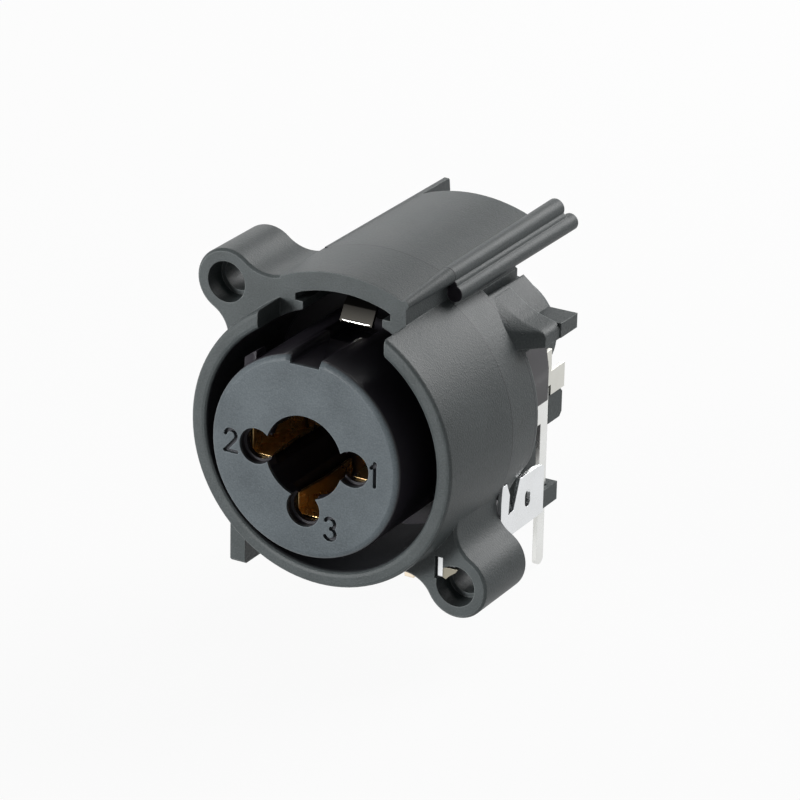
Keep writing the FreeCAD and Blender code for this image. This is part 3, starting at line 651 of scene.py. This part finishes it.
# Painted shade: the housing gets it on every surface within 9.8 mm of the plug axis, and the
# insert on all of itself behind its face. The cover gets none.
GREY_HOUSING = Plastic(
    "housing_plastic", dark=(0.044, 0.052, 0.053), light=(0.073, 0.084, 0.086),
    rough=(0.42, 0.54), grain_depth=0.000026, edge_round=0.00014, edge_highlight_tone=(0.20, 0.22, 0.22),
    shade_zone_radius=9.80, shade_zone_face=-20.0, line_place=6.1, step_place=9.9)
GREY_INSERT = Plastic(
    "insert_plastic", dark=(0.059, 0.072, 0.080), light=(0.098, 0.117, 0.128),
    rough=(0.40, 0.50), grain_depth=0.000022, edge_round=0.00012, edge_highlight_tone=(0.22, 0.25, 0.27),
    shade_zone_radius=100.0, shade_zone_face=-5.12, line_place=NOWHERE, step_place=NOWHERE)
GREY_COVER = Plastic(
    "cover_plastic", dark=(0.046, 0.055, 0.056), light=(0.070, 0.083, 0.084),
    rough=(0.46, 0.58), grain_depth=0.000020, edge_round=0.00010, edge_highlight_tone=(0.11, 0.13, 0.13),
    shade_zone_radius=0.0, shade_zone_face=NOWHERE, line_place=NOWHERE, step_place=NOWHERE)
GOLD_MOUTH = Metal("contact_alloy", (0.90, 0.62, 0.28), (0.80, 0.81, 0.80), (0.20, 0.36),
                   change=(9.0, 12.0), edge_round=0.00007)
TINNED_LEAF = Metal("leaf_alloy", (0.66, 0.66, 0.62), (0.66, 0.66, 0.62), (0.24, 0.38))
# The spring's steel is darker towards the top: lighter on the tooth's lower part, and darker
# higher up on the plate.
SPRING_METAL = Metal("spring_steel", (0.07, 0.067, 0.060), (0.022, 0.021, 0.019), (0.28, 0.42),
                     axis=Axis.Z, change=(8.2, 9.3), edge_round=0.00006)
# Painted highlight: a bright copy of the spring's steel, for the tooth's nose.
NOSE_HIGHLIGHT = Metal("nose_highlight_steel", (0.78, 0.77, 0.74), (0.78, 0.77, 0.74), (0.16, 0.26))
# Painted shade: a darkened copy of the clip's tin, for the lip that lies in shade inside the
# ear's hole.
SHADED_TIN = Metal("painted_shade_tin", (0.24, 0.225, 0.18), (0.24, 0.225, 0.18), (0.30, 0.46))
TIN_PLATE = Metal("tinned_clip", (0.80, 0.82, 0.84), (0.80, 0.82, 0.84), (0.20, 0.34))


def dress(nodes: tuple[str, ...], material: bpy.types.Material) -> None:
    """Give solids of the frame their finish.

    Args:
        nodes: names of the solids.
        material: the finish.
    """
    for name in nodes:
        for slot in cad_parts[name].material_slots:
            slot.material = material
        LOG.info("dressed %s with %s", name, material.name)


def closed_loft(name: str, rings: np.ndarray, sharp: float = 35.0) -> bpy.types.Mesh:
    """Skin over rings of points, with a flat end on the first and the last.

    Point j of ring i is joined to its neighbours j + 1 and i + 1, and the
    last point of each ring to its first.

    Args:
        name: the mesh's name.
        rings: points in millimetres, by ring, by point, by axis.
        sharp: angle from which an edge is a hard one.

    Returns:
        The mesh, in metres.
    """
    count, around = rings.shape[:2]
    at = np.arange(count * around).reshape(count, around)
    after = np.roll(at, -1, axis=1)
    quads = np.stack((at[:-1], after[:-1], after[1:], at[1:]), axis=-1).reshape(-1, 4)
    ends = [at[0][::-1].tolist(), at[-1].tolist()]
    mesh = bpy.data.meshes.new(name)
    mesh.from_pydata((rings.reshape(-1, 3) * MM).tolist(), [], quads.tolist() + ends)
    shape = bmesh.new()
    shape.from_mesh(mesh)
    bmesh.ops.recalc_face_normals(shape, faces=shape.faces)
    shape.to_mesh(mesh)
    shape.free()
    mesh.shade_smooth()
    mesh.set_sharp_from_angle(angle=math.radians(sharp))
    return mesh


def add_piece(name: str, mesh: bpy.types.Mesh, material: bpy.types.Material,
              body: str) -> bpy.types.Object:
    """Make a mesh a piece of the object.

    Args:
        name: the piece's name.
        mesh: its mesh, in place.
        material: its finish.
        body: the body that it rides on.

    Returns:
        The piece.
    """
    piece = bpy.data.objects.new(name, mesh)
    bpy.context.scene.collection.objects.link(piece)
    mesh.materials.append(material)
    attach(piece, body)
    LOG.info("made %s, %d faces", name, len(mesh.polygons))
    return piece


@dataclass
class Moulding:
    """The main moulding: collar, hood, rails, ears and foot, and the soft
    shoulders in which its roof rolls over into the two ledges."""

    roof_r: float = 10.88
    sink: float = 0.03
    thickness: float = 0.6
    shoulder_y: Triple = (9.2, 10.9, 13.22)
    shoulder_z: tuple[float, ...] = (5.48, 6.2, 6.4, 6.57, 6.7, 6.8, 6.92, 7.15, 7.55, 8.05, 8.6)
    shoulder_x: tuple[float, ...] = (11.05, 11.05, 11.0, 10.86, 10.64, 10.3, 9.8, 9.1, 8.28,
                                     7.52, 6.76)
    rows: int = 27
    columns: int = 41

    def shoulder(self, side: int) -> bpy.types.Mesh:
        """Shoulder on one side.

        At a depth y the skin stands a share k of the way from just under the
        roof's circle out to the full profile, and k rises evenly from nothing
        at the first depth to one at the second.  The full profile runs
        through the given points: the upright side, the roll and the slope up
        to the roof.  The back lies by the thickness inside the circle.

        Args:
            side: 1 for the right and -1 for the left.

        Returns:
            The mesh.
        """
        z = np.linspace(self.shoulder_z[0], self.shoulder_z[-1], self.columns)
        circle = np.sqrt(self.roof_r ** 2 - z ** 2)
        full = np.maximum(np.interp(z, self.shoulder_z, self.shoulder_x), circle - self.sink)
        start, reach, end = self.shoulder_y
        y = np.linspace(start, end, self.rows)
        k = np.clip((y - start) / (reach - start), 0.0, 1.0)[:, None]
        x = circle - self.sink + k * (full - circle)
        skin = np.stack((side * x, np.repeat(y[:, None], self.columns, axis=1),
                         np.tile(z, (self.rows, 1))), axis=-1)
        back = skin[:, ::-1].copy()
        back[:, :, 0] = side * (circle[::-1] - self.thickness)
        return closed_loft("shoulder", np.concatenate((skin, back), axis=1))

    def build(self) -> None:
        """Dress the moulding and add its shoulders."""
        material = GREY_HOUSING.material()
        dress(("housing",), material)
        for side, name in ((1, "shoulder_right"), (-1, "shoulder_left")):
            add_piece(name, self.shoulder(side), material, "socket")


def arc(centre: Pair, radius: float, start: float, end: float, count: int = 13) -> np.ndarray:
    """Points on an arc: the centre plus the radius at even angles.

    Args:
        centre: centre of the arc in x and z.
        radius: its radius.
        start: angle of its first point in degrees.
        end: angle of its last point in degrees.
        count: how many points it has.

    Returns:
        Points in x and z, a row each.
    """
    turn = np.radians(np.linspace(start, end, count))
    return np.column_stack((centre[0] + radius * np.cos(turn), centre[1] + radius * np.sin(turn)))


def stroke(path: np.ndarray, width: float, front: float, back: float,
           steps: int = 8) -> bpy.types.Mesh:
    """Flat stroke with round ends, as a closed solid.

    The outline is the path moved by half the width to its left, a half circle
    round its end, the path moved to its right in reverse, and a half circle
    round its start.  It is carried straight from the front depth to the back.

    Args:
        path: points in x and z, a row each.
        width: width of the stroke.
        front: depth of its front.
        back: depth of its back.
        steps: edges of each half circle.

    Returns:
        The mesh, in metres.
    """
    along = np.gradient(path, axis=0)
    along /= np.linalg.norm(along, axis=1)[:, None]
    side = np.column_stack((-along[:, 1], along[:, 0])) * width / 2
    fan = np.radians(np.linspace(90.0, -90.0, steps + 1)[1:-1])[:, None]
    end = path[-1] + width / 2 * np.cos(fan) * along[-1] + np.sin(fan) * side[-1]
    start = path[0] - width / 2 * np.cos(fan) * along[0] - np.sin(fan) * side[0]
    ring = np.vstack((path + side, end, (path - side)[::-1], start))
    count = len(ring)
    depth = np.repeat((front, back), count)
    points = np.column_stack((np.tile(ring[:, 0], 2), depth, np.tile(ring[:, 1], 2))) * MM
    here = np.arange(count)
    after = np.roll(here, -1)
    walls = np.column_stack((here, after, after + count, here + count)).tolist()
    mesh = bpy.data.meshes.new("stroke")
    mesh.from_pydata(points.tolist(), [], [here[::-1].tolist(), (here + count).tolist()] + walls)
    return mesh


@dataclass
class ContactCarrier:
    """Insert, with the contacts' numbers sunk into its face, and rear cover.

    Each number has a place on the face in x and z, and its cutter starts
    clear in front of the face.  Points closer than merge become one, edges
    over the angle sharp are hard ones, and a face counts as flat to the front
    where its normal's forward share is over ahead.
    """

    face: float = -5.3
    sunk: float = 0.3
    width: float = 0.3
    clear: float = 0.5
    one: Pair = (5.95, 0.0)
    two: Pair = (-6.2, -0.05)
    three: Pair = (2.3, -5.1)
    merge: float = 0.001
    sharp: float = 28.0
    ahead: float = 0.9995

    def strokes(self) -> list[np.ndarray]:
        """Paths of the three numbers.

        Returns:
            One array of points in x and z for each stroke.
        """
        one, two, three = (np.array(at) for at in (self.one, self.two, self.three))
        hook = np.vstack((arc((0.0, 0.42), 0.46, 165.0, -35.0), [(-0.46, -0.82)]))
        return [
            one + np.array([(0.0, -0.9), (0.0, 0.9)]),
            one + np.array([(0.05, 0.82), (-0.3, 0.5)]),
            two + hook,
            two + np.array([(-0.5, -0.8), (0.52, -0.8)]),
            three + arc((-0.02, 0.42), 0.42, 150.0, -80.0),
            three + arc((-0.02, -0.4), 0.46, 80.0, -150.0),
        ]

    def crease_face(self, mesh: bpy.types.Mesh) -> None:
        """Make every border of the flat front a hard one, so that it is shaded flat.

        An edge is hard where one face beside it looks straight ahead and the
        other doesn't: the largest forward share of the normals at the edge is
        over the limit for that, and the smallest under it.

        Args:
            mesh: the insert's mesh.
        """
        normals = np.empty(len(mesh.polygons) * 3)
        mesh.polygons.foreach_get("normal", normals)
        forward = -normals.reshape(-1, 3)[:, 1]
        sides = np.empty(len(mesh.polygons), dtype=np.int32)
        mesh.polygons.foreach_get("loop_total", sides)
        edges = np.empty(len(mesh.loops), dtype=np.int32)
        mesh.loops.foreach_get("edge_index", edges)
        share = np.repeat(forward, sides)
        low = np.full(len(mesh.edges), np.inf)
        high = np.full(len(mesh.edges), -np.inf)
        np.minimum.at(low, edges, share)
        np.maximum.at(high, edges, share)
        hard = np.empty(len(mesh.edges), dtype=bool)
        mesh.edges.foreach_get("use_edge_sharp", hard)
        hard |= (high > self.ahead) & (low < self.ahead)
        mesh.edges.foreach_set("use_edge_sharp", hard)

    def marked_insert(self) -> bpy.types.Object:
        """Insert with the numbers cut into its face.

        Returns:
            The piece that stands for the insert.
        """
        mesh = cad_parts["insert"].data.copy()
        mesh.name = "marked_insert"
        piece = bpy.data.objects.new("marked_insert", mesh)
        bpy.context.scene.collection.objects.link(piece)
        shape = bmesh.new()
        shape.from_mesh(mesh)
        bmesh.ops.remove_doubles(shape, verts=shape.verts, dist=self.merge * MM)
        shape.to_mesh(mesh)
        shape.free()
        cutters = []
        for path in self.strokes():
            solid = stroke(path, self.width, self.face - self.clear, self.face + self.sunk)
            cutter = bpy.data.objects.new("cutter", solid)
            bpy.context.scene.collection.objects.link(cutter)
            cut = piece.modifiers.new("number", "BOOLEAN")
            cut.object = cutter
            cut.solver = "EXACT"
            cutters.append(cutter)
        bpy.context.view_layer.update()
        seen = piece.evaluated_get(bpy.context.evaluated_depsgraph_get())
        cut_mesh = bpy.data.meshes.new_from_object(seen)
        piece.modifiers.clear()
        piece.data = cut_mesh
        cut_mesh.shade_smooth()
        cut_mesh.set_sharp_from_angle(angle=math.radians(self.sharp))
        self.crease_face(cut_mesh)
        weighted = piece.modifiers.new("flat_faces", "WEIGHTED_NORMAL")
        weighted.mode = "FACE_AREA_WITH_ANGLE"
        weighted.weight = 100
        weighted.keep_sharp = True
        for cutter in cutters:
            bpy.data.objects.remove(cutter)
        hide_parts("insert")
        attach(piece, "socket")
        return piece

    def build(self) -> None:
        """Cut the numbers, and dress the insert and the cover."""
        dress(("insert",), GREY_INSERT.material())
        piece = self.marked_insert()
        LOG.info("made %s, %d faces", piece.name, len(piece.data.polygons))
        dress(("rear_cover",), GREY_COVER.material())


@dataclass
class Contacts:
    """The three channel contacts and the three jack leaves."""

    def build(self) -> None:
        """Dress the contacts."""
        dress(("xlr_contact_1", "xlr_contact_2", "xlr_contact_3"), GOLD_MOUTH.material())
        dress(("jack_tip_contact", "jack_ring_contact", "jack_sleeve_contact"),
              TINNED_LEAF.material())


@dataclass
class Springs:
    """Retention spring with its tooth's nose, and ground clip with the lip
    that meets the screw."""

    nose_x: float = 1.3
    nose_y: float = 2.08
    nose_z: float = 8.1
    nose_r: float = 0.12
    nose_bow: float = 0.05
    nose_end: float = 0.35
    nose_swell: float = 2.2
    rings: int = 25
    around: int = 16
    lip_y: Pair = (0.32, 0.6)
    lip: tuple[Pair, ...] = (
        (8.5, -8.88), (8.92, -8.74), (9.9, -8.7), (9.74, -8.98), (9.2, -9.38), (8.92, -9.68),
        (8.5, -9.5))

    def tooth_nose(self) -> bpy.types.Mesh:
        """Round end of the spring's tooth: a real rounded form, whose bright steel is a painted
        highlight along the tooth's lower edge.

        A circle of the nose's radius goes along x.  With rest for one less
        the square of x over the half length, its centre stands further
        forward by the bow times rest.  The radius starts from a share of its
        own at both ends and swells with the square root of rest until it is
        full.

        Returns:
            The mesh.
        """
        share = np.sin(np.linspace(-np.pi / 2, np.pi / 2, self.rings))
        rest = 1.0 - share ** 2
        turn = np.linspace(0.0, 2.0 * np.pi, self.around, endpoint=False)
        swell = np.minimum(1.0, self.nose_end + self.nose_swell * np.sqrt(rest))
        radius = self.nose_r * swell[:, None]
        x = np.repeat(self.nose_x * share[:, None], self.around, axis=1)
        y = self.nose_y - self.nose_bow * rest[:, None] + radius * np.cos(turn)
        z = self.nose_z + radius * np.sin(turn)
        return closed_loft("tooth_nose", np.stack((x, y, z), axis=-1))

    def screw_lip(self) -> bpy.types.Mesh:
        """Lip of the clip that looks into the right ear's hole: its outline,
        in x and z, carried straight from the first depth to the second.

        Returns:
            The mesh.
        """
        outline = np.array(self.lip)
        rings = [np.column_stack((outline[:, 0], np.full(len(outline), y), outline[:, 1]))
                 for y in self.lip_y]
        return closed_loft("screw_lip", np.array(rings))

    def build(self) -> None:
        """Dress the spring and the clip, and add the nose and the lip."""
        dress(("retention_spring",), SPRING_METAL.material())
        # The nose's bright steel paints the highlight along the tooth's lower edge.
        add_piece("tooth_nose", self.tooth_nose(), NOSE_HIGHLIGHT.material(), "latch")
        dress(("ground_clip",), TIN_PLATE.material())
        # The lip's darkened tin is painted shade.
        add_piece("screw_lip", self.screw_lip(), SHADED_TIN.material(), "socket")


def main() -> None:
    """Build every sub-assembly in order."""
    logging.basicConfig(level=logging.INFO, format="%(name)s: %(message)s")
    for part in (Effects(), Camera(), Studio(), Moulding(), ContactCarrier(), Contacts(),
                 Springs()):
        part.build()
        LOG.info("built %s", type(part).__name__)


if __name__ == "__main__":
    main()
